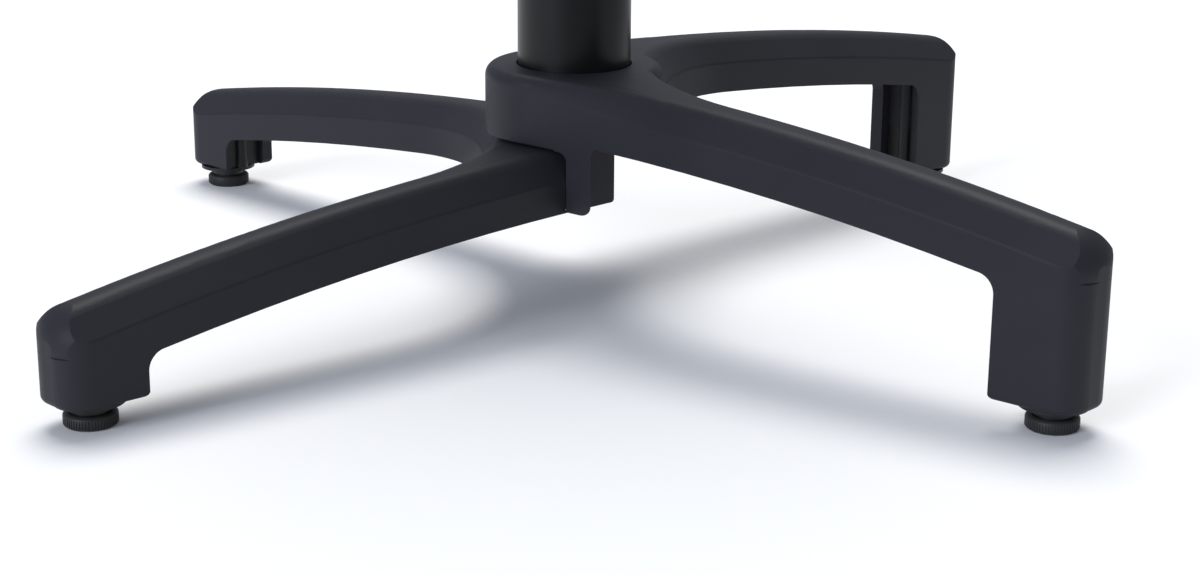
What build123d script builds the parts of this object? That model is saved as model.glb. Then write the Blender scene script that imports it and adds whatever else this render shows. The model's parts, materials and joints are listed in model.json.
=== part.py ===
"""Pedestal base of a folding table.

Two V-shaped leg castings are stacked under one round column, four self-adjusting feet stand in the
posts at the leg ends, and a tilting plate on the column's head carries the table top.
Millimetres, +Z up, origin on the floor under the column's axis, feet at mid stroke.
"""

import os
from math import acos, asin, atan2, cos, radians, sin, sqrt

from build123d import *

os.makedirs("parts", exist_ok=True)

# Stance and castings
foot_spacing = 556.0
rim_height = 16.5
hub_top = 157.0
casting_drop = 47.0
arch_drop = 34.0
leg_depth = 38.5
post_width = 45.0
post_outer = 27.0
upper_post_inner = 26.5
lower_post_inner = 23.0
post_corner = 17.6
valley_setback = 10.0
valley_radius = 140.0
ridge_inset = 15.0
ridge_drop = 17.0
ridge_rounding = 12.0
crease_rounding = 2.5
end_rounding = 25.0
end_turn = 31.75
end_margin = 0.5
end_lift = 0.3
end_overrun = 40.0
upright = 0.02
wall = 5.0
roof = 7.0
roof_inset = 17.0
hub_roof = 14.0
underarm_radius = 12.0
rim_rounding = 4.0

# Hubs of the two castings
hub_radius = 60.0
upper_core_radius = 59.7
lower_core_radius = 52.0
hub_rounding = 8.0
flat_radius = 66.0
shoulder_length = 140.0
shoulder_width = 30.0
shoulder_inset = 20.5
shoulder_crest = 10.0
shoulder_lean = 0.56
shoulder_gap = 0.15
shoulder_steps = 4
skirt_height = 45.5
skirt_wall = 5.5
skirt_lip = 1.5
socket_depth = 25.0
socket_floor = 10.0
socket_gap = 1.0
spigot_radius = 25.0
bolt_seat_height = 84.0
nose_reach = 27.0
nose_rounding = 2.0
nose_depth = 14.0
nose_gap = 1.0
lug_left = -5.0
lug_right = 11.0
lug_wall = 8.0
lug_foot = 72.0
lug_rounding = 7.0
lug_flare = 6.0
lug_clearance = 0.3
rib_radius = 205.0
rib_width = 5.0

# Posts and foot cartridges
recess_width = 34.0
recess_back = 18.0
spine_radius = 5.0
cartridge_height = 34.0
cartridge_tail = 18.0
cartridge_clearance = 0.2
flange_radius = 21.0
flange_height = 2.5
shoulder_height = 6.0
cap_height = 4.0
cap_lip = 1.5

# Pistons and pads
rod_radius = 12.0
head_radius = 14.0
head_height = 10.0
head_lift = 7.0
running_gap = 0.05
chamber_gap = 0.4
seal_height = 2.5
seal_gap = 0.3
pad_radius = 16.0
pad_height = 8.5
pad_socket = 5.0
pad_bevel = 1.5
knurl_count = 40
knurl_depth = 0.6

# Column and its clamp
column_diameter = 76.2
column_wall = 2.0
plug_height = 20.0
tie_radius = 8.0
tie_clearance = 0.5
tie_head_flats = 24.0
tie_head_height = 10.0
washer_radius = 20.0
washer_height = 3.0

# Folding head
plate_top = 716.0
plate_size = 240.0
plate_thickness = 5.0
plate_corner = 20.0
plate_holes = 200.0
plate_hole_diameter = 7.0
pivot_setback = 42.0
pivot_below_plate = 24.0
pivot_height = 27.0
pivot_radius = 6.0
bracket_width = 98.0
bracket_thickness = 5.0
bracket_front = 50.0
bracket_rear = 54.0
bracket_corner = 6.0
ear_length = 44.0
rest_depth = 20.0
rest_width = 76.0
ear_radius = 13.0
tongue_gap = 0.5
tongue_radius = 12.0
tongue_length = 56.0
tongue_root = 2.0
bush_wall = 2.0
buffer_radius = 8.0
buffer_height = 6.0
buffer_spacing = 50.0
buffer_gap = 0.3
bolt_head_flats = 19.0
bolt_head_height = 8.0
knob_radius = 20.0
knob_height = 18.0
knob_gap = 0.3
knob_lobes = 7
knob_scallop = 6.0
knob_grip = 12.0
knob_hub_radius = 13.0
knob_bore = 13.0
thread_reach = 12.0

# Values worked out from the sizes above
foot_radius = foot_spacing / sqrt(2)
leg_reach = foot_radius + post_outer
upper_post_start = foot_radius - upper_post_inner
lower_post_start = foot_radius - lower_post_inner
arch_radius = (foot_radius**2 + arch_drop**2) / (2 * arch_drop)
upper_crown = hub_top + arch_radius - sqrt(arch_radius**2 - flat_radius**2)
lower_crown = upper_crown - casting_drop
skirt_bottom = hub_top - skirt_height
column_radius = column_diameter / 2
column_seat = hub_top - socket_depth
casting_seat = column_seat - socket_floor
column_top = plate_top - plate_thickness - pivot_below_plate - pivot_height
pivot_z = column_top + pivot_height
cartridge_top = rim_height + cartridge_height
cap_radius = head_radius + chamber_gap + cap_lip
ear_inside = bracket_width / 2 - bracket_thickness
rest_height = pivot_height + pivot_below_plate - buffer_height - buffer_gap
foot_places = {
    "front_right": -45.0,
    "rear_right": 45.0,
    "front_left": -135.0,
    "rear_left": 135.0,
}
upper_feet = ("front_right", "rear_right")
lower_feet = ("front_left", "rear_left")


def arch_z(crown, radius):
    """Height of the arched top at a distance from the column's axis, for a given height at the axis."""
    return crown - arch_radius + sqrt(arch_radius**2 - radius**2)


def foot_plane(angle, height):
    """Plane at a foot, with its x direction pointing out along the leg."""
    outwards = (cos(radians(angle)), sin(radians(angle)), 0)
    origin = (foot_radius * outwards[0], foot_radius * outwards[1], height)
    return Plane(origin=origin, x_dir=outwards, z_dir=(0, 0, 1))


def outer_wall(core_radius):
    """Outer wall of the leg at +X +Y: where it leaves the round core, and its corner past the post."""
    along = Vector(1, 1).normalized()
    across = Vector(-1, 1).normalized()
    corner = along * leg_reach + across * (post_width / 2)
    tangent_angle = atan2(corner.Y, corner.X) + acos(core_radius / corner.length)
    tangent = Vector(cos(tangent_angle), sin(tangent_angle)) * core_radius
    return tangent, corner


def leg_plan(core_radius, overrun=0):
    """Plan of one casting, legs to +X, with round ends, or with square ends that run past the posts."""
    tangent, outer_end = outer_wall(core_radius)
    inner_end = Vector(outer_end.Y, outer_end.X)
    valley = Vector(-valley_setback, 0)
    outer_end += (outer_end - tangent).normalized() * overrun
    inner_end += (inner_end - valley).normalized() * overrun
    with BuildSketch(mode=Mode.PRIVATE) as plan:
        with BuildLine():
            Polyline((-2 * valley_setback, 0), tangent, outer_end, inner_end, valley, close=True)
        make_face()
        mirror(about=Plane.XZ)
        if overrun == 0:
            fillet(plan.vertices().filter_by(lambda v: v.X > leg_reach / 2), post_corner)
        fillet(plan.vertices().sort_by_distance(valley)[0], valley_radius)
        Circle(core_radius)
    return plan.sketch


def arch_cut(crown):
    """Keeps, of the part being built, what lies under an arched surface with this height at the axis."""
    with Locations((0, 0, crown - arch_radius)):
        Sphere(arch_radius, rotation=(0, 90, 0), mode=Mode.INTERSECT)


def round_column(radius, mode=Mode.ADD):
    """Upright cylinder round the column's axis, from the floor to well above the castings."""
    Cylinder(radius, 2 * hub_top, align=(Align.CENTER, Align.CENTER, Align.MIN), mode=mode)


def is_side(shape):
    """True for a face or an edge along a leg, and not at its square end."""
    return Vector(shape.center().X, shape.center().Y).length < leg_reach


def end_cutter(angle, crown):
    """What is cut off a leg's end, so that its top turns down into the end wall and round the corners."""
    centre = leg_reach - end_turn
    slope = asin(centre / arch_radius)
    drop = end_rounding - end_lift
    start = (end_turn + end_margin - end_rounding + drop * sin(slope)) / cos(slope)
    outwards = Vector(cos(radians(angle)), sin(radians(angle)), 0)
    normal = outwards * sin(slope) + Vector(0, 0, cos(slope))
    across = outwards.cross(Vector(0, 0, 1))
    top = outwards * centre + Vector(0, 0, arch_z(crown, centre))
    with BuildPart(mode=Mode.PRIVATE) as cutter:
        with BuildSketch(Plane(top, across, across.cross(normal))):
            with BuildLine():
                CenterArc((start, -drop), end_rounding, 0, 90)
                Polyline((start + end_rounding, -drop), (leg_reach, -drop), (leg_reach, leg_reach))
                Polyline((leg_reach, leg_reach), (start, leg_reach), (start, end_lift))
            make_face()
        revolve(axis=Axis(top, normal), revolution_arc=180)
    return cutter.part


def leg_pair(core_radius, crown, post_start):
    """Outside of one casting, legs to +X: plan walls under a ridged arch, with posts down to the rim."""
    with BuildPart(mode=Mode.PRIVATE) as arch_space:
        round_column(post_start)
        arch_cut(crown - leg_depth)
        fillet(arch_space.faces().sort_by(Axis.Z)[-1].edges(), underarm_radius)
    with BuildPart(mode=Mode.PRIVATE) as pair:
        with BuildSketch(Plane.XY.offset(rim_height)):
            add(leg_plan(core_radius, end_overrun))
        extrude(amount=2 * hub_top)
        arch_cut(crown)
        top = pair.faces().sort_by(Axis.Z)[-1]
        chamfer(top.edges().filter_by(is_side), ridge_inset, ridge_drop, reference=top)
        fillet(pair.faces().sort_by(Axis.Z)[-1].edges().filter_by(is_side), ridge_rounding)
        walls = pair.faces().filter_by(is_side).filter_by(lambda f: abs(f.normal_at().Z) < upright)
        fillet([wall_face.edges().sort_by(Axis.Z)[-1] for wall_face in walls], crease_rounding)
        for angle in (foot_places["front_right"], foot_places["rear_right"]):
            add(end_cutter(angle, crown), mode=Mode.SUBTRACT)
        with BuildSketch(Plane.XY.offset(rim_height)):
            add(leg_plan(core_radius))
        extrude(amount=2 * hub_top, mode=Mode.INTERSECT)
        add(arch_space.part, mode=Mode.SUBTRACT)
        fillet(pair.faces().group_by(Axis.Z)[0].edges(), rim_rounding)
    return pair.part


def shoulders(core_radius, crown):
    """Blends along the outer walls, from the hub's rounded top edge down to the ridges of the legs."""
    tangent, corner = outer_wall(core_radius)
    along = (corner - tangent).normalized()
    inwards = -tangent.normalized()
    bottom = crown - leg_depth
    with BuildPart(mode=Mode.PRIVATE) as blends:
        for step in range(shoulder_steps + 1):
            share = step / shoulder_steps
            spot = tangent + along * (shoulder_length * share)
            inset = hub_rounding + (shoulder_inset - hub_rounding) * share
            drop = hub_rounding + (ridge_drop - hub_rounding) * share
            top = min(hub_top, arch_z(crown, (spot + inwards * inset).length)) - shoulder_gap
            crease = min(hub_top, arch_z(crown, spot.length)) - drop - shoulder_gap
            lean = (ridge_inset * shoulder_lean * share, crease + (top - crease) * shoulder_lean)
            crest = (inset - (inset - shoulder_crest * share) * shoulder_lean, top)
            with BuildSketch(Plane(spot, inwards, inwards.cross(Vector(0, 0, 1)))):
                with BuildLine():
                    Bezier((0, crease), lean, crest, (inset, top))
                    Polyline((inset, top), (shoulder_width, top), (shoulder_width, bottom))
                    Polyline((shoulder_width, bottom), (0, bottom), (0, crease))
                make_face()
        loft(ruled=True)
        mirror(about=Plane.XZ)
    return blends.part


def leg_core(core_radius, crown, post_start, inset, roof_drop):
    """Hollow under both legs of a casting: the plan moved inwards under a lowered arch, with a cross rib."""
    with BuildPart(mode=Mode.PRIVATE) as core:
        with BuildSketch():
            add(leg_plan(core_radius))
            offset(amount=-inset, mode=Mode.REPLACE)
        extrude(amount=2 * hub_top)
        arch_cut(crown - roof_drop)
        round_column(post_start - wall, mode=Mode.INTERSECT)
        round_column(hub_radius + wall, mode=Mode.SUBTRACT)
        with BuildSketch():
            Circle(rib_radius + rib_width)
            Circle(rib_radius, mode=Mode.SUBTRACT)
        extrude(amount=2 * hub_top, mode=Mode.SUBTRACT)
    return core.part


def post_cutter(angle, crown, post_start):
    """Recess on the inner side of a post, round its spine, and the pocket for the foot cartridge."""
    recess_depth = foot_radius - post_start - recess_back
    recess_top = max(arch_z(crown - leg_depth, post_start), cartridge_top) + wall
    with BuildPart(mode=Mode.PRIVATE) as cutter:
        with BuildSketch(foot_plane(angle, rim_height)):
            with Locations((-recess_back, 0)):
                Rectangle(2 * recess_depth, recess_width, align=(Align.MAX, Align.CENTER))
        extrude(amount=recess_top - rim_height)
        with BuildSketch(foot_plane(angle, cartridge_top)):
            with Locations((-recess_back, 0)):
                Circle(spine_radius)
        extrude(amount=recess_top - cartridge_top, mode=Mode.SUBTRACT)
        with BuildSketch(foot_plane(angle, rim_height)):
            with Locations((-recess_back, 0)):
                Rectangle(recess_back + cartridge_tail, recess_width, align=(Align.MIN, Align.CENTER))
        extrude(amount=cartridge_height)
    return cutter.part


def lug_plan(depth, margin):
    """Plan of the strips at the front and rear of the upper casting's wall where its lugs hang."""
    with BuildSketch(mode=Mode.PRIVATE) as plan:
        add(leg_plan(upper_core_radius))
        offset(amount=-depth, mode=Mode.REPLACE)
    with BuildSketch(mode=Mode.PRIVATE) as strip:
        with Locations(((lug_left + lug_right) / 2, 0)):
            Rectangle(lug_right - lug_left + 2 * margin, 4 * hub_radius)
        add(plan.sketch, mode=Mode.SUBTRACT)
    return strip.sketch


def lug_pair(root):
    """Lugs at the front and rear of the upper casting's wall, rounded at the foot and flared at the root."""
    middle = (lug_left + lug_right) / 2
    half = (lug_right - lug_left) / 2
    with BuildPart(mode=Mode.PRIVATE) as lugs:
        with BuildSketch():
            add(leg_plan(upper_core_radius))
            add(lug_plan(lug_wall, half), mode=Mode.INTERSECT)
        extrude(amount=2 * hub_top)
        with BuildSketch(Plane.XZ) as face:
            with Locations((middle, lug_foot)):
                Rectangle(2 * half, root - lug_foot, align=(Align.CENTER, Align.MIN))
            fillet(face.vertices().group_by(Axis.Y)[0].sort_by(Axis.X)[-1], lug_rounding)
            with Locations((middle, skirt_bottom)):
                Rectangle(2 * half, root - skirt_bottom + wall, align=(Align.MAX, Align.MIN))
            with Locations((middle, root)):
                Rectangle(2 * half, wall, align=(Align.MIN, Align.MIN))
            for corner in ((lug_left, skirt_bottom), (lug_right, root)):
                fillet(face.vertices().sort_by_distance(corner)[0], lug_flare)
        extrude(amount=4 * hub_radius, both=True, mode=Mode.INTERSECT)
    return lugs.part


with BuildPart() as upper_leg_casting:
    add(leg_pair(upper_core_radius, upper_crown, upper_post_start))
    with BuildSketch(Plane.XY.offset(hub_top)):
        Circle(2 * hub_radius)
    extrude(amount=hub_top, mode=Mode.SUBTRACT)
    with BuildPart(mode=Mode.PRIVATE) as hub:
        with BuildSketch(Plane.XY.offset(skirt_bottom)):
            Circle(hub_radius)
        extrude(amount=skirt_height)
        fillet(hub.edges().group_by(Axis.Z)[-1], hub_rounding)
        fillet(hub.edges().group_by(Axis.Z)[0], skirt_lip)
    add(hub.part)
    with BuildPart(mode=Mode.PRIVATE) as skirt:
        with BuildSketch(Plane.XY.offset(skirt_bottom)):
            add(leg_plan(upper_core_radius))
            with Locations(((lug_left + lug_right) / 2, 0)):
                Rectangle(4 * hub_radius, 4 * hub_radius, align=(Align.MAX, Align.CENTER), mode=Mode.INTERSECT)
        extrude(amount=casting_seat - skirt_bottom + wall)
        fillet(skirt.edges().group_by(Axis.Z)[0], skirt_lip)
    add(skirt.part)
    add(shoulders(upper_core_radius, upper_crown))
    for inset, roof_drop in ((wall, ridge_drop + wall), (roof_inset, roof)):
        add(leg_core(upper_core_radius, upper_crown, upper_post_start, inset, roof_drop), mode=Mode.SUBTRACT)
    with BuildSketch(Plane.XY.offset(skirt_bottom)):
        Circle(hub_radius - skirt_wall)
    extrude(amount=casting_seat - skirt_bottom, mode=Mode.SUBTRACT)
    add(lug_pair(arch_z(upper_crown - leg_depth, hub_radius)))
    with BuildSketch(Plane.XY.offset(column_seat)):
        Circle(column_radius + socket_gap)
    extrude(amount=2 * socket_depth, mode=Mode.SUBTRACT)
    with BuildSketch(Plane.XY.offset(skirt_bottom)):
        Circle(tie_radius + tie_clearance)
    extrude(amount=skirt_height, mode=Mode.SUBTRACT)
    for foot in upper_feet:
        add(post_cutter(foot_places[foot], upper_crown, upper_post_start), mode=Mode.SUBTRACT)
upper_leg_casting.part.label = "upper_leg_casting"
export_step(upper_leg_casting.part, "parts/upper_leg_casting.step")

with BuildPart() as lower_leg_casting:
    add(leg_pair(lower_core_radius, lower_crown, lower_post_start), rotation=(0, 0, 180))
    with BuildSketch():
        with Locations((nose_reach, 0)):
            Rectangle(hub_radius, 4 * hub_radius, align=(Align.MIN, Align.CENTER))
    extrude(amount=hub_top, mode=Mode.SUBTRACT)
    fillet(lower_leg_casting.faces().filter_by(Axis.X).sort_by(Axis.X)[-1].edges(), nose_rounding)
    with BuildSketch(mode=Mode.PRIVATE) as inner_plan:
        add(leg_plan(lower_core_radius))
        offset(amount=-nose_depth, mode=Mode.REPLACE)
    with BuildSketch(Plane.XY.offset(lower_crown - ridge_drop - wall)) as nose:
        with Locations((nose_reach, 0)):
            Rectangle(nose_reach - lug_left, 4 * hub_radius, align=(Align.MAX, Align.CENTER))
        add(leg_plan(lower_core_radius), rotation=180, mode=Mode.INTERSECT)
        add(inner_plan.sketch, rotation=180, mode=Mode.SUBTRACT)
        corners = nose.vertices().group_by(Axis.X)[-1].sort_by(Axis.Y)
        fillet((corners[0], corners[-1]), nose_rounding)
    extrude(amount=skirt_bottom - nose_gap - lower_crown + ridge_drop + wall)
    for inset, roof_drop in ((wall, ridge_drop + wall), (roof_inset, roof)):
        core = leg_core(lower_core_radius, lower_crown, lower_post_start, inset, roof_drop)
        add(core, rotation=(0, 0, 180), mode=Mode.SUBTRACT)
    with BuildSketch():
        Circle(lower_core_radius - wall)
        with Locations((nose_reach - wall, 0)):
            Rectangle(hub_radius, 4 * hub_radius, align=(Align.MIN, Align.CENTER), mode=Mode.SUBTRACT)
    extrude(amount=lower_crown - hub_roof, mode=Mode.SUBTRACT)
    with BuildSketch(Plane.XY.offset(bolt_seat_height)):
        Circle(spigot_radius)
    extrude(amount=casting_seat - bolt_seat_height)
    with BuildSketch(Plane.XY.offset(bolt_seat_height)):
        Circle(tie_radius + tie_clearance)
    extrude(amount=casting_seat - bolt_seat_height, mode=Mode.SUBTRACT)
    with BuildSketch(Plane.XY.offset(lug_foot - lug_clearance)):
        add(lug_plan(lug_wall + lug_clearance, lug_clearance))
    extrude(amount=hub_top, mode=Mode.SUBTRACT)
    for foot in lower_feet:
        add(post_cutter(foot_places[foot], lower_crown, lower_post_start), mode=Mode.SUBTRACT)
lower_leg_casting.part.label = "lower_leg_casting"
export_step(lower_leg_casting.part, "parts/lower_leg_casting.step")

with BuildPart() as column_tube:
    with BuildSketch(Plane.XY.offset(column_seat)):
        Circle(column_radius)
        Circle(column_radius - column_wall, mode=Mode.SUBTRACT)
    extrude(amount=column_top - column_seat)
column_tube.part.label = "column_tube"
export_step(column_tube.part, "parts/column_tube.step")

with BuildPart() as column_plug:
    with BuildSketch(Plane.XY.offset(column_seat)):
        Circle(column_radius - column_wall - running_gap)
        Circle(tie_radius + running_gap, mode=Mode.SUBTRACT)
    extrude(amount=plug_height)
column_plug.part.label = "column_plug"
export_step(column_plug.part, "parts/column_plug.step")

with BuildPart() as tie_washer:
    with BuildSketch(Plane.XY.offset(bolt_seat_height - washer_height)):
        Circle(washer_radius)
        Circle(tie_radius + tie_clearance, mode=Mode.SUBTRACT)
    extrude(amount=washer_height)
tie_washer.part.label = "tie_washer"
export_step(tie_washer.part, "parts/tie_washer.step")

with BuildPart() as tie_bolt:
    with BuildSketch(Plane.XY.offset(bolt_seat_height - washer_height - tie_head_height)):
        RegularPolygon(tie_head_flats / 2, 6, major_radius=False)
    extrude(amount=tie_head_height)
    with BuildSketch(Plane.XY.offset(bolt_seat_height - washer_height)):
        Circle(tie_radius)
    extrude(amount=column_seat + plug_height - bolt_seat_height + washer_height)
tie_bolt.part.label = "tie_bolt"
export_step(tie_bolt.part, "parts/tie_bolt.step")

for foot, angle in foot_places.items():
    with BuildPart() as cartridge:
        with BuildSketch(foot_plane(angle, rim_height)):
            with Locations((-recess_back, 0)):
                Rectangle(
                    recess_back + cartridge_tail - cartridge_clearance,
                    recess_width - 2 * cartridge_clearance,
                    align=(Align.MIN, Align.CENTER),
                )
                Circle(spine_radius)
        extrude(amount=cartridge_height)
        with BuildSketch(foot_plane(angle, rim_height - flange_height)):
            Circle(flange_radius)
        extrude(amount=flange_height)
        with BuildSketch(foot_plane(angle, rim_height - flange_height)):
            Circle(rod_radius + running_gap)
        extrude(amount=flange_height + shoulder_height, mode=Mode.SUBTRACT)
        with BuildSketch(foot_plane(angle, rim_height)):
            Circle(head_radius + running_gap)
        extrude(amount=seal_height, mode=Mode.SUBTRACT)
        with BuildSketch(foot_plane(angle, rim_height + shoulder_height)):
            Circle(head_radius + chamber_gap)
        extrude(amount=cartridge_height, mode=Mode.SUBTRACT)
        with BuildSketch(foot_plane(angle, cartridge_top - cap_height)):
            Circle(cap_radius)
        extrude(amount=cap_height, mode=Mode.SUBTRACT)
    cartridge.part.label = f"{foot}_cartridge"
    export_step(cartridge.part, f"parts/{foot}_cartridge.step")

    with BuildPart() as cap:
        with BuildSketch(foot_plane(angle, cartridge_top - cap_height)):
            Circle(cap_radius - running_gap)
        extrude(amount=cap_height)
    cap.part.label = f"{foot}_cartridge_cap"
    export_step(cap.part, f"parts/{foot}_cartridge_cap.step")

    with BuildPart() as seal:
        with BuildSketch(foot_plane(angle, rim_height)):
            Circle(head_radius)
            Circle(rod_radius + seal_gap, mode=Mode.SUBTRACT)
        extrude(amount=seal_height)
    seal.part.label = f"{foot}_wiper_seal"
    export_step(seal.part, f"parts/{foot}_wiper_seal.step")

    with BuildPart() as piston:
        with BuildSketch(foot_plane(angle, pad_height - pad_socket)):
            Circle(rod_radius)
        extrude(amount=rim_height + shoulder_height + head_lift - pad_height + pad_socket)
        with BuildSketch(foot_plane(angle, rim_height + shoulder_height + head_lift)):
            Circle(head_radius)
        extrude(amount=head_height)
    piston.part.label = f"{foot}_piston"
    export_step(piston.part, f"parts/{foot}_piston.step")

    with BuildPart() as pad:
        with BuildSketch(foot_plane(angle, pad_bevel)):
            Circle(pad_radius)
            with PolarLocations(pad_radius, knurl_count):
                Rectangle(sqrt(2) * knurl_depth, sqrt(2) * knurl_depth, rotation=45, mode=Mode.SUBTRACT)
        extrude(amount=pad_height - pad_bevel)
        with BuildSketch(foot_plane(angle, 0)):
            Circle(pad_radius - pad_bevel)
        with BuildSketch(foot_plane(angle, pad_bevel)):
            Circle(pad_radius - knurl_depth)
        loft()
        with BuildSketch(foot_plane(angle, pad_height - pad_socket)):
            Circle(rod_radius + running_gap)
        extrude(amount=pad_socket, mode=Mode.SUBTRACT)
    pad.part.label = f"{foot}_pad"
    export_step(pad.part, f"parts/{foot}_pad.step")

with BuildPart() as head_bracket:
    with BuildSketch(Plane.XY.offset(column_top)):
        with Locations((0, (bracket_rear - bracket_front) / 2)):
            RectangleRounded(bracket_width, bracket_rear + bracket_front, bracket_corner)
    extrude(amount=bracket_thickness)
    for side in (-1, 1):
        with BuildSketch(Plane.YZ.offset(side * (ear_inside + bracket_thickness / 2))) as ear:
            with Locations((pivot_setback, pivot_z)):
                Circle(ear_radius)
            with Locations((bracket_rear, column_top)):
                Rectangle(ear_length, bracket_thickness, align=(Align.MAX, Align.MIN))
            make_hull()
            with Locations((pivot_setback, pivot_z)):
                Circle(pivot_radius + running_gap, mode=Mode.SUBTRACT)
        extrude(amount=bracket_thickness / 2, both=True)
    with BuildSketch(Plane.YZ) as rest:
        with Locations((-bracket_front, column_top)):
            Rectangle(bracket_thickness, rest_height, align=(Align.MIN, Align.MIN))
        with Locations((-bracket_front, column_top + rest_height)):
            Rectangle(rest_depth, bracket_thickness, align=(Align.MIN, Align.MAX))
    extrude(amount=rest_width / 2, both=True)
head_bracket.part.label = "head_bracket"
export_step(head_bracket.part, "parts/head_bracket.step")

with BuildPart() as rest_buffers:
    with BuildSketch(Plane.XY.offset(column_top + rest_height)):
        with Locations((0, rest_depth / 2 - bracket_front)):
            with GridLocations(buffer_spacing, 0, 2, 1):
                Circle(buffer_radius)
    extrude(amount=buffer_height)
rest_buffers.part.label = "rest_buffers"
export_step(rest_buffers.part, "parts/rest_buffers.step")

with BuildPart() as tilt_plate:
    with BuildSketch(Plane.XY.offset(plate_top - plate_thickness)):
        RectangleRounded(plate_size, plate_size, plate_corner)
        with GridLocations(plate_holes, plate_holes, 2, 2):
            Circle(plate_hole_diameter / 2, mode=Mode.SUBTRACT)
    extrude(amount=plate_thickness)
    for side in (-1, 1):
        with BuildSketch(Plane.YZ.offset(side * (ear_inside - tongue_gap - bracket_thickness / 2))):
            with Locations((pivot_setback, pivot_z)):
                Circle(tongue_radius)
            with Locations((pivot_setback + tongue_radius, plate_top - plate_thickness)):
                Rectangle(tongue_length, tongue_root, align=(Align.MAX, Align.MAX))
            make_hull()
            with Locations((pivot_setback, pivot_z)):
                Circle(pivot_radius + running_gap + bush_wall + running_gap, mode=Mode.SUBTRACT)
        extrude(amount=bracket_thickness / 2, both=True)
tilt_plate.part.label = "tilt_plate"
export_step(tilt_plate.part, "parts/tilt_plate.step")

with BuildPart() as pivot_bushes:
    for side in (-1, 1):
        with BuildSketch(Plane.YZ.offset(side * (ear_inside - tongue_gap - bracket_thickness / 2))):
            with Locations((pivot_setback, pivot_z)):
                Circle(pivot_radius + running_gap + bush_wall)
                Circle(pivot_radius + running_gap, mode=Mode.SUBTRACT)
        extrude(amount=bracket_thickness / 2, both=True)
pivot_bushes.part.label = "pivot_bushes"
export_step(pivot_bushes.part, "parts/pivot_bushes.step")

with BuildPart() as pivot_bolt:
    with BuildSketch(Plane.YZ.offset(-bracket_width / 2 - bolt_head_height)):
        with Locations((pivot_setback, pivot_z)):
            RegularPolygon(bolt_head_flats / 2, 6, major_radius=False)
    extrude(amount=bolt_head_height)
    with BuildSketch(Plane.YZ.offset(-bracket_width / 2)):
        with Locations((pivot_setback, pivot_z)):
            Circle(pivot_radius)
    extrude(amount=bracket_width + knob_gap + thread_reach)
pivot_bolt.part.label = "pivot_bolt"
export_step(pivot_bolt.part, "parts/pivot_bolt.step")

with BuildPart() as clamp_knob:
    with BuildSketch(Plane.YZ.offset(bracket_width / 2 + knob_gap)):
        with Locations((pivot_setback, pivot_z)):
            Circle(knob_hub_radius)
    extrude(amount=knob_height - knob_grip)
    with BuildSketch(Plane.YZ.offset(bracket_width / 2 + knob_gap + knob_height - knob_grip)) as grip:
        with Locations((pivot_setback, pivot_z)):
            Circle(knob_radius)
            with PolarLocations(knob_radius + knob_scallop / 2, knob_lobes):
                Circle(knob_scallop, mode=Mode.SUBTRACT)
    extrude(amount=knob_grip)
    with BuildSketch(Plane.YZ.offset(bracket_width / 2 + knob_gap)):
        with Locations((pivot_setback, pivot_z)):
            Circle(pivot_radius + running_gap)
    extrude(amount=knob_bore, mode=Mode.SUBTRACT)
clamp_knob.part.label = "clamp_knob"
export_step(clamp_knob.part, "parts/clamp_knob.step")
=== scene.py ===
# %% [markdown]
# # A pedestal leg for a folding table
#
# The real object is a black pedestal: a steel column stands on two V-shaped aluminium castings, each leg
# ends in a post with a round adjusting foot, and a plate at the top tilts upright so that the table folds
# away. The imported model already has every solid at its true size, so this lesson dresses it: a camera where
# the photo was taken from, a finish for each material, finer meshes for a few small pieces, and a plain
# studio.

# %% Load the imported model
import json
from math import atan2, cos, pi, radians, sin

import bmesh
import bpy
from mathutils import Matrix, Vector


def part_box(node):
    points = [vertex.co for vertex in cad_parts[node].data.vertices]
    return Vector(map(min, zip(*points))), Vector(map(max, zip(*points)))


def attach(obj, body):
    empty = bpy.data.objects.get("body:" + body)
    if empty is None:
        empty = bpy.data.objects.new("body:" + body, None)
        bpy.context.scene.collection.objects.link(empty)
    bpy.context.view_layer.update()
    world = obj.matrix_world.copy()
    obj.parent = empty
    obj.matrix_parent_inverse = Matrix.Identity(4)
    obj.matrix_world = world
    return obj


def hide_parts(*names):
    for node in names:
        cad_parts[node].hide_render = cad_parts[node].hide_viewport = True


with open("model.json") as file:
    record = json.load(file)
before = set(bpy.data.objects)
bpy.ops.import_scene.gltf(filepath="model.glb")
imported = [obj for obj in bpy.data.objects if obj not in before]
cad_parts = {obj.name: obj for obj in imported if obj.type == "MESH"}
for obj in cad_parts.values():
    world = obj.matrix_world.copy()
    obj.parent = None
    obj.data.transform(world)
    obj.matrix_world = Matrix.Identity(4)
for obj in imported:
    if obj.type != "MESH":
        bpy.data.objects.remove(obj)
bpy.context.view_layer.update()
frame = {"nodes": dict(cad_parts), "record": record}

# %% [markdown]
# ## The camera
#
# A product is usually photographed from a few steps away with a short telephoto, which keeps the legs'
# proportions calm. The place and the three angles come from fitting straight edges of known size, so they
# go in as plain numbers: where the camera stands, how far it looks down, and how little it turns and leans.

# %% Place the camera
camera_place = Vector((-0.0016, -1.5312, 0.46836))
look_down, look_aside, lean = radians(17.06), radians(-0.762), radians(0.497)
camera_lens = 69.21

to_right = Vector((cos(look_aside), sin(look_aside), 0))
ahead_level = Vector((-sin(look_aside), cos(look_aside), 0))
ahead = ahead_level * cos(look_down) - Vector((0, 0, sin(look_down)))
upright = to_right.cross(ahead)
camera_x = to_right * cos(lean) + upright * sin(lean)
camera_y = upright * cos(lean) - to_right * sin(lean)

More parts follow.
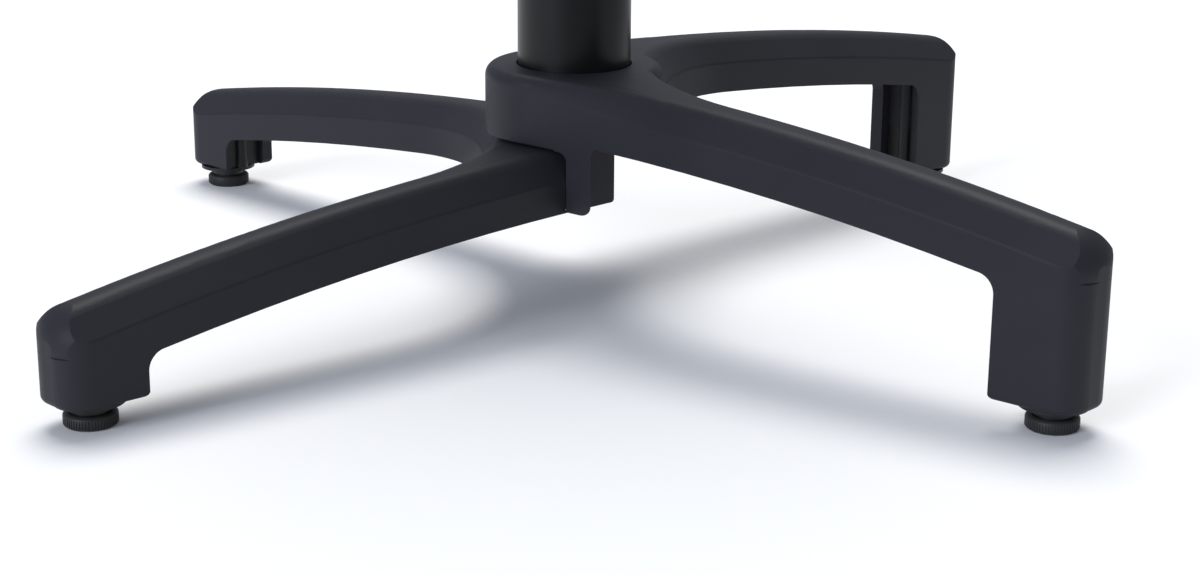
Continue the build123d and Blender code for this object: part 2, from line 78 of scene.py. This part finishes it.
camera = bpy.data.objects.new("camera", bpy.data.cameras.new("camera"))
camera.data.lens = camera_lens
camera.data.sensor_fit = "HORIZONTAL"
camera_turn = Matrix((camera_x, camera_y, -ahead)).transposed().to_4x4()
camera.matrix_world = Matrix.Translation(camera_place) @ camera_turn
bpy.context.collection.objects.link(camera)
bpy.context.scene.camera = camera
print("camera at", tuple(round(v, 3) for v in camera_place), "lens", camera_lens)

# %% [markdown]
# ## Writing shaders as sums
#
# A finish is mostly a little arithmetic: so much of this noise, a bit less there. Clicking Math nodes
# together hides that arithmetic, so a small class wraps a socket and lets Python's own operators add the
# nodes. A Mix node repeats its sockets for each kind of data, so the ones for colours go by number.

# %% A socket that can be added and multiplied
mix_amount, mix_first, mix_second, mix_result = 0, 6, 7, 2


class Value:
    """A socket of a shader that takes part in Python sums."""

    def __init__(self, finish, socket):
        self.finish, self.socket = finish, socket

    def reckon(self, operation, first, second):
        return self.finish.node("ShaderNodeMath", {"operation": operation}, {0: first, 1: second}).out()

    def __add__(self, other):
        return self.reckon("ADD", self, other)

    def __radd__(self, other):
        return self.reckon("ADD", other, self)

    def __mul__(self, other):
        return self.reckon("MULTIPLY", self, other)

    def __rmul__(self, other):
        return self.reckon("MULTIPLY", other, self)


class Made:
    """A node that was just made, with its outputs as values."""

    def __init__(self, finish, node):
        self.finish, self.node = finish, node

    def out(self, name=0):
        return Value(self.finish, self.node.outputs[name])


class Finish:
    """One material with a Principled shader, and one method for any other node."""

    def __init__(self, name, **plain):
        self.material = bpy.data.materials.new(name)
        self.material.use_nodes = True
        self.tree = self.material.node_tree
        self.shader = self.tree.nodes["Principled BSDF"]
        for socket, value in plain.items():
            self.shader.inputs[socket.replace("_", " ")].default_value = value

    def node(self, kind, settings=None, sockets=None):
        node = self.tree.nodes.new(kind)
        for name, value in (settings or {}).items():
            setattr(node, name, value)
        for name, value in (sockets or {}).items():
            self.feed(node.inputs[name], value)
        return Made(self, node)

    def feed(self, socket, value):
        if isinstance(value, Value):
            self.tree.links.new(value.socket, socket)
        else:
            socket.default_value = value

    def set(self, socket, value):
        self.feed(self.shader.inputs[socket], value)

    def place(self):
        return self.node("ShaderNodeTexCoord").out("Object")

    def noise(self, scale, detail=3.0, roughness=0.55):
        sockets = {"Vector": self.place(), "Scale": scale, "Detail": detail, "Roughness": roughness}
        return self.node("ShaderNodeTexNoise", sockets=sockets).out()

    def blend(self, amount, first, second):
        sockets = {mix_amount: amount, mix_first: first, mix_second: second}
        return self.node("ShaderNodeMix", {"data_type": "RGBA"}, sockets).out(mix_result)

    def bump(self, height, distance, strength):
        sockets = {"Height": height, "Distance": distance, "Strength": strength}
        self.set("Normal", self.node("ShaderNodeBump", sockets=sockets).out("Normal"))


print("shader sums ready")

# %% [markdown]
# ## Powder coat on the castings
#
# Powder coat is sprayed as dust and baked, so it flows into a skin with a fine grain of about half a
# millimetre and a slow unevenness in gloss. The grain is too fine to show in an outline, so no mesh is
# needed for it. Two noises do it: a fine one for the grain in the bump, and a slow one for the colour and
# the gloss.


# %% The castings' finish
def grey(level, blue=1.0):
    return (level, level, level * blue, 1.0)


def leg_coat():
    finish = Finish("leg_coat", Metallic=0.0, Specular_IOR_Level=0.16)
    grain = finish.noise(scale=1600.0, detail=2.0)
    cloud = finish.noise(scale=14.0, detail=4.0)
    finish.set("Base Color", finish.blend(cloud, grey(0.020, blue=1.25), grey(0.027, blue=1.25)))
    finish.set("Roughness", 0.38 + 0.10 * cloud + 0.10 * grain)
    finish.bump(grain, distance=0.00012, strength=0.35)
    return finish.material


finishes = {"leg_coat": leg_coat()}
print("leg_coat has", len(finishes["leg_coat"].node_tree.nodes), "nodes")

# %% [markdown]
# ## The other finishes
#
# All the rest is black too, but for the bushes, so the pieces are told apart by gloss. The column's coat is
# smoother than the castings', and the plastic of the feet is duller than the column. Steel is zinc-plated and
# passivated black, with fine scratches that lie level, and rubber is nearly without gloss. One shader with
# many settings could do it all, but a short function for each finish is easier to read and to compare.


# %% Column and head
def column_coat():
    finish = Finish("column_coat", Metallic=0.0, Specular_IOR_Level=0.31)
    grain = finish.noise(scale=2200.0, detail=2.0)
    cloud = finish.noise(scale=9.0)
    finish.set("Base Color", finish.blend(cloud, grey(0.002, blue=1.3), grey(0.003, blue=1.3)))
    finish.set("Roughness", 0.34 + 0.06 * cloud)
    finish.bump(grain, distance=0.00006, strength=0.25)
    return finish.material


def head_coat():
    finish = Finish("head_coat", Metallic=0.0, Specular_IOR_Level=0.3)
    grain = finish.noise(scale=1500.0, detail=2.0)
    cloud = finish.noise(scale=16.0)
    finish.set("Base Color", finish.blend(cloud, grey(0.014, blue=1.05), grey(0.02, blue=1.05)))
    finish.set("Roughness", 0.44 + 0.10 * cloud)
    finish.bump(grain, distance=0.0001, strength=0.35)
    return finish.material


finishes.update(column_coat=column_coat(), head_coat=head_coat())
print("coats:", *finishes)


# %% Steel, plastic and rubber
def black_zinc():
    finish = Finish("steel", Metallic=1.0)
    sockets = {"Vector": finish.place(), "Scale": (40.0, 40.0, 900.0)}
    stretched = finish.node("ShaderNodeMapping", sockets=sockets).out()
    sockets = {"Vector": stretched, "Scale": 3.0, "Detail": 3.0}
    scratch = finish.node("ShaderNodeTexNoise", sockets=sockets).out()
    finish.set("Base Color", finish.blend(scratch, grey(0.028, blue=1.05), grey(0.05, blue=1.05)))
    finish.set("Roughness", 0.34 + 0.16 * scratch)
    return finish.material


def moulded_plastic(name, level, dullness):
    finish = Finish(name, Metallic=0.0, Specular_IOR_Level=0.3)
    grain = finish.noise(scale=2600.0, detail=1.0)
    cloud = finish.noise(scale=30.0)
    finish.set("Base Color", finish.blend(cloud, grey(level * 0.85), grey(level * 1.1)))
    finish.set("Roughness", dullness + 0.08 * cloud)
    finish.bump(grain, distance=0.00004, strength=0.3)
    return finish.material


def soft_rubber():
    finish = Finish("rubber", Metallic=0.0, Specular_IOR_Level=0.3)
    cloud = finish.noise(scale=60.0)
    finish.set("Base Color", finish.blend(cloud, grey(0.018), grey(0.03)))
    finish.set("Roughness", 0.72 + 0.12 * cloud)
    finish.bump(cloud, distance=0.0001, strength=0.3)
    return finish.material


finishes.update(
    steel=black_zinc(),
    cartridge_plastic=moulded_plastic("cartridge_plastic", level=0.012, dullness=0.42),
    pad_plastic=moulded_plastic("pad_plastic", level=0.032, dullness=0.45),
    bush_plastic=moulded_plastic("bush_plastic", level=0.65, dullness=0.5),
    grip_plastic=moulded_plastic("grip_plastic", level=0.018, dullness=0.4),
    rubber=soft_rubber(),
)
print("finishes:", *finishes)

# %% Give every node its finish
slot_of = {subpart["node"]: subpart["material_slot"] for subpart in frame["record"]["subparts"]}
for name, slot in slot_of.items():
    frame["nodes"][name].data.materials.clear()
    frame["nodes"][name].data.materials.append(finishes[slot])
print(len(finishes), "finishes on", len(slot_of), "nodes")

# %% [markdown]
# ## Tools for modelling by hand
#
# A turner follows a template along the work. The same works in edit mode: start with a disc, extrude it,
# scale the new ring, and so on along a list of radii and heights in millimetres. Other small helpers take a
# piece up for editing, pick faces or corners by where they are, put a copy where the model wants it, and
# hand the finished piece to its body.

# %% Take up and turn
mm = 0.001


def put_all_down():
    if bpy.context.mode != "OBJECT":
        bpy.ops.object.mode_set(mode="OBJECT")
    bpy.ops.object.select_all(action="DESELECT")


def take_up(piece, mode="OBJECT"):
    put_all_down()
    piece.select_set(True)
    bpy.context.view_layer.objects.active = piece
    bpy.ops.object.mode_set(mode=mode)


def turned(name, template, corners):
    (radius, height), further = template[0], template[1:]
    put_all_down()
    bpy.ops.mesh.primitive_circle_add(
        vertices=corners, radius=radius * mm, fill_type="NGON", location=(0, 0, height * mm)
    )
    piece = bpy.context.object
    piece.name = name
    bpy.ops.object.transform_apply(location=True, rotation=True, scale=True)
    bpy.ops.object.mode_set(mode="EDIT")
    bpy.ops.mesh.select_mode(type="FACE")
    bpy.ops.mesh.select_all(action="SELECT")
    for new_radius, new_height in further:
        rise = (0, 0, (new_height - height) * mm)
        bpy.ops.mesh.extrude_region_move(TRANSFORM_OT_translate={"value": rise})
        wider = new_radius / radius
        bpy.ops.transform.resize(value=(wider, wider, 1), center_override=(0, 0, new_height * mm))
        radius, height = new_radius, new_height
    bpy.ops.mesh.select_all(action="SELECT")
    bpy.ops.mesh.normals_make_consistent(inside=False)
    bpy.ops.object.mode_set(mode="OBJECT")
    print(name, "turned with", len(template), "rings of", corners)
    return piece


# %% Pick, copy and hand over
smooth_under = radians(35)


def steps_round(point, steps):
    """Where a point lies round the Z axis, in steps of which a full turn has so many."""
    return atan2(point.y, point.x) % (2 * pi) * steps / (2 * pi)


def pick(piece, kind, test, *facts):
    bpy.ops.mesh.select_mode(type="FACE" if kind == "faces" else "VERT")
    bpy.ops.mesh.select_all(action="DESELECT")
    mesh = bmesh.from_edit_mesh(piece.data)
    picked = [part for part in getattr(mesh, kind) if test(part, *facts)]
    for part in picked:
        part.select_set(True)
    mesh.select_flush_mode()
    bmesh.update_edit_mesh(piece.data)
    print(len(picked), kind, "picked on", piece.name)


def middle(node):
    low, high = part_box(node)
    return (Vector(low) + Vector(high)) / 2


def copy_at(piece, name, place, turn=(0, 0, 0)):
    take_up(piece)
    bpy.ops.object.duplicate(linked=False)
    copy = bpy.context.object
    copy.name = name
    copy.location, copy.rotation_euler = place, turn
    bpy.ops.object.transform_apply(location=True, rotation=True, scale=True)
    return copy


def hand_over(piece, body, slot, *nodes):
    take_up(piece)
    bpy.ops.object.shade_smooth_by_angle(angle=smooth_under)
    piece.data.materials.clear()
    piece.data.materials.append(finishes[slot])
    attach(piece, body)
    if nodes:
        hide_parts(*nodes)
    put_all_down()
    print(piece.name, "rides on", body, "with", len(piece.data.polygons), "faces")


# %% [markdown]
# ## Knurled pads under the posts
#
# Each foot stands on a moulded pad with a fine knurl, so that a hand can grip it, and a shallow hollow
# beneath. The grooves could be a bump, but their outline shows against the white paper. So every other face
# of the pad's band is inset and pushed in, once, and the pad is copied to the four feet.

# %% Model one pad and copy it
pad_grooves = 56
groove_side, groove_depth = 0.12 * mm, 0.45 * mm
band_radius, band_low, band_high = 15.97, 1.6, 6.7
bore_radius = 12.05
pad_template = [
    (10.6, 0.8), (11.2, 0.0), (14.3, 0.0), (15.2, 0.6), (15.8, 1.2), (band_radius, band_low),
    (band_radius, band_high), (15.8, 7.1), (15.2, 7.8), (14.4, 8.3), (13.6, 8.5), (12.5, 8.5),
    (bore_radius, 8.2), (bore_radius, 3.6),
]


def is_groove(face):
    centre = face.calc_center_median()
    outside = centre.xy.length > (bore_radius + band_radius) / 2 * mm
    on_band = outside and band_low * mm < centre.z < band_high * mm
    return on_band and int(steps_round(centre, 2 * pad_grooves)) % 2 == 0


pad = turned("pad", pad_template, corners=2 * pad_grooves)
take_up(pad, "EDIT")
pick(pad, "faces", is_groove)
bpy.ops.mesh.inset(thickness=groove_side, depth=-groove_depth, use_individual=True)
for foot in ("front_left", "front_right", "rear_left", "rear_right"):
    place = middle(f"{foot}_pad")
    place.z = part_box(f"{foot}_pad")[0][2]
    piece = copy_at(pad, f"{foot}_knurled_pad", place)
    hand_over(piece, f"{foot}_foot", "pad_plastic", f"{foot}_pad")
bpy.data.objects.remove(pad)

# %% [markdown]
# ## The clamp knob
#
# A star knob has soft lobes for the fingers. It is turned first, as a round knob with a short hub and a
# blind hole for the bolt. Cutting the hollows between the lobes with cylinders would leave sharp edges to
# round off, so columns of corners are scaled towards the axis instead, the middle of a hollow the most.

# %% Turn the knob and press in its hollows
knob_lobes, columns_per_lobe = 7, 12
knob_columns = knob_lobes * columns_per_lobe
hollow_steps = (0.85, 0.862, 0.90, 0.965)
hollow_outside, hollow_above = 14.2, 5.9
knob_template = [
    (6.05, 13.0), (6.05, 0.3), (6.4, 0.0), (12.2, 0.0), (12.9, 0.7), (13.0, 4.8), (13.6, 5.8), (14.6, 6.0),
    (17.6, 6.0), (19.0, 6.5), (19.8, 7.6), (19.98, 9.4), (19.98, 14.2), (19.6, 15.9), (18.5, 17.1),
    (16.6, 17.7), (13.0, 17.95), (9.0, 18.0), (8.5, 17.6), (3.0, 17.4),
]


def in_hollow(corner, step):
    column = round(steps_round(corner.co, knob_columns)) % columns_per_lobe
    on_grip = corner.co.xy.length > hollow_outside * mm and corner.co.z > hollow_above * mm
    return on_grip and column in (step, columns_per_lobe - step)


knob = turned("knob", knob_template, corners=knob_columns)
take_up(knob, "EDIT")
for step, shrink in enumerate(hollow_steps):
    pick(knob, "verts", in_hollow, step)
    bpy.ops.transform.resize(value=(shrink, shrink, 1), center_override=(0, 0, 0))
pivot = middle("pivot_bushes")
to_x_axis = (0, radians(90), 0)
piece = copy_at(knob, "star_knob", (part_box("clamp_knob")[0][0], pivot.y, pivot.z), to_x_axis)
hand_over(piece, "knob", "grip_plastic", "clamp_knob")
bpy.data.objects.remove(knob)

# %% [markdown]
# ## The pivot bolt
#
# A hexagon head is a short six-sided bar whose corners are turned off at 30 degrees. Bevelled edges would
# stay straight, but that cut is a cone and leaves curves. So the head is a six-sided cylinder kept only
# inside a turned blank, and the shank is joined on with a union.

# %% Hexagon head and shank
head_height, head_flats = 8.0, 19.0
head_corners = head_flats / cos(radians(30))
shank_radius, shank_root = 6.0, 7.0
tip_radius, tip_length = 5.1, 1.1
low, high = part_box("pivot_bolt")
bolt_length = (high[0] - low[0]) / mm
blank_template = [(8.9, -0.1), (9.1, 0.0), (11.2, 1.2), (11.2, 8.5)]
shank_template = [
    (shank_radius, shank_root), (shank_radius, bolt_length - tip_length), (tip_radius, bolt_length),
]

put_all_down()
bpy.ops.mesh.primitive_cylinder_add(
    vertices=6, radius=head_corners / 2 * mm, depth=head_height * mm, location=(0, 0, head_height / 2 * mm)
)
bolt = bpy.context.object
bpy.ops.object.transform_apply(location=True, rotation=True, scale=True)
blank = turned("blank", blank_template, corners=96)
shank = turned("shank", shank_template, corners=48)
for tool, operation in ((blank, "INTERSECT"), (shank, "UNION")):
    take_up(bolt)
    cut = bolt.modifiers.new(operation.lower(), "BOOLEAN")
    cut.operation, cut.object, cut.solver = operation, tool, "EXACT"
    bpy.ops.object.modifier_apply(modifier=cut.name)
    bpy.data.objects.remove(tool)
piece = copy_at(bolt, "hex_bolt", (low[0], pivot.y, pivot.z), to_x_axis)
hand_over(piece, "base", "steel", "pivot_bolt")
bpy.data.objects.remove(bolt)

# %% [markdown]
# ## Rubber rests
#
# Two rubber buttons carry the plate when it lies flat. Real ones are domed, so that they give a little.
# Half a sphere would have no skirt, so a button is turned from a template with a straight side under its
# dome.

# %% Two domed buttons
button_radius = 8.0
button_template = [
    (7.5, 0.0), (button_radius, 0.5), (button_radius, 3.2), (7.75, 4.3), (7.0, 5.3), (5.8, 5.85), (4.0, 6.0),
]
low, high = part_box("rest_buffers")
button = turned("button", button_template, corners=48)
side_places = {"left": low[0] + button_radius * mm, "right": high[0] - button_radius * mm}
buttons = [
    copy_at(button, f"button_{side}", (place, middle("rest_buffers").y, low[2]))
    for side, place in side_places.items()
]
put_all_down()
for copy in buttons:
    copy.select_set(True)
bpy.context.view_layer.objects.active = buttons[0]
bpy.ops.object.join()
piece = bpy.context.object
piece.name = "rest_buttons"
hand_over(piece, "base", "rubber", "rest_buffers")
bpy.data.objects.remove(button)

# %% [markdown]
# ## The weld under the bracket
#
# The bracket is welded to the column all round, and the welder's steps leave small ripples. A bump would
# lie flat in the corner. A torus shows there as a bead, and every third ring of it is drawn in a little.

# %% Weld bead
bead_rings, bead_corners, bead_radius = 156, 12, 3.0 * mm
ripple_every, ripple_depth = 3, 0.35 * mm
low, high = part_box("column_tube")
put_all_down()
bpy.ops.mesh.primitive_torus_add(
    major_segments=bead_rings, minor_segments=bead_corners,
    major_radius=(high[0] - low[0]) / 2, minor_radius=bead_radius, location=(0, 0, high[2]),
)
bead = bpy.context.object
bead.name = "weld_bead"
bpy.ops.object.transform_apply(location=True, rotation=True, scale=True)


def in_ripple(corner):
    return round(steps_round(corner.co, bead_rings)) % ripple_every == 0


take_up(bead, "EDIT")
pick(bead, "verts", in_ripple)
bpy.ops.transform.shrink_fatten(value=-ripple_depth)
hand_over(bead, "base", "head_coat")

# %% [markdown]
# ## White paper on a grey floor
#
# The table leg stands on a roll of white paper that fills the picture. Its front edge lies just under the
# picture and its right edge just beside it, and past them the floor is grey. One endless white floor would
# be simpler, but the glossy column mirrors what lies around it, and its right side would lose its shade.

# %% Paper and floor
paper_left, paper_right, paper_front, paper_back = -3.0, 0.85, -0.60, 8.0
floor_reach, floor_drop = 20.0, 0.002
studio_paper = Finish("studio_paper", Base_Color=grey(0.98), Roughness=0.9, Specular_IOR_Level=0.1)
studio_floor = Finish("studio_floor", Base_Color=grey(0.25), Roughness=0.8, Specular_IOR_Level=0.2)


def lay_out(name, left, right, front, back, height, finish):
    put_all_down()
    bpy.ops.mesh.primitive_plane_add(size=1.0, location=((left + right) / 2, (front + back) / 2, height))
    sheet = bpy.context.object
    sheet.name = name
    sheet.scale = (right - left, back - front, 1)
    bpy.ops.object.transform_apply(location=True, rotation=True, scale=True)
    sheet.data.materials.append(finish.material)
    print(name, right - left, "by", back - front, "m")


lay_out("paper", paper_left, paper_right, paper_front, paper_back, 0.0, studio_paper)
lay_out("floor", -floor_reach, floor_reach, -floor_reach, floor_reach, -floor_drop, studio_floor)

# %% [markdown]
# ## The light of the room
#
# Walls and ceiling send back a little light from every side, slightly blue. A lamp for each would be much
# work for little, so a world of one colour does it and keeps the shadows from going black.

# %% World
room_tint, room_strength = (0.84, 0.89, 1.0, 1.0), 0.36
world = bpy.data.worlds.new("studio")
world.use_nodes = True
bpy.context.scene.world = world
room = world.node_tree.nodes["Background"]
room.inputs["Color"].default_value = room_tint
room.inputs["Strength"].default_value = room_strength
print("room light of strength", room_strength)

# %% [markdown]
# ## Two lamps
#
# A large soft box hangs over the table leg, a little behind it, and a cool window stands low at the front
# left. Area lamps would fade across the paper. Suns with a wide disc don't, and their shadows still soften
# with height: low legs throw dark shadows, high ones only a veil.


# %% Lamps
def put_sun(name, place, power, tint, disc):
    sun = bpy.data.lights.new(name, "SUN")
    sun.energy, sun.color, sun.angle = power, tint, radians(disc)
    lamp = bpy.data.objects.new(name, sun)
    lamp.location = place
    lamp.rotation_euler = (-Vector(place)).to_track_quat("-Z", "Y").to_euler()
    bpy.context.collection.objects.link(lamp)
    print(name, "of power", power, "over", disc, "degrees")


put_sun("rear_box", place=(0.013, 0.378, 0.926), power=2.3, tint=(1.0, 0.985, 0.96), disc=40)
put_sun("left_window", place=(-0.664, -0.664, 0.342), power=1.75, tint=(0.80, 0.87, 1.0), disc=30)
bpy.context.scene.view_settings.view_transform = "Standard"

# %% [markdown]
# ## The end
#
# A dressed piece must not outgrow the imported model, or the part would no longer fit where it should.

# %% Finish
print("dressing done")
